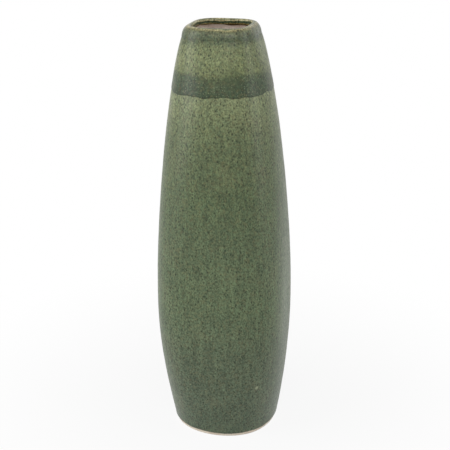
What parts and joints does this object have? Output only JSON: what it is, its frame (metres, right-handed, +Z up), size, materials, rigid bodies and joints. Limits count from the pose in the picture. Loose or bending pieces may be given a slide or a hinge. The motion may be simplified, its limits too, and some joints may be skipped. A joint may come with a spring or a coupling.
{
  "type": "vase",
  "caption": "Slender barrel-shaped stoneware vase with a rounded-square plan, a narrow rounded mouth, mottled green glaze, a darker shoulder band and a bare clay foot.",
  "frame": {"origin": "centre of the foot's underside, on the surface that the vase stands on", "axes": "+Z up through the mouth; X and Y square to the flat sides of the rounded-square plan"},
  "size_m": [0.0938, 0.0938, 0.3],
  "materials": {
    "bare_stoneware": "matte, unglazed",
    "green_glaze": "satin, mottled",
    "dark_green_glaze": "satin, where the glaze is thick",
    "pale_green_glaze": "satin, mottled",
    "ochre_glaze": "satin, thin over the clay"
  },
  "bodies": {
    "root": {"clay_body": "bare_stoneware", "body_glaze": "green_glaze", "shoulder_band": "dark_green_glaze", "neck_glaze": "pale_green_glaze", "lip_ring": "dark_green_glaze", "lip_glaze": "ochre_glaze", "throat_glaze": "ochre_glaze"}
  },
  "joints": []
}
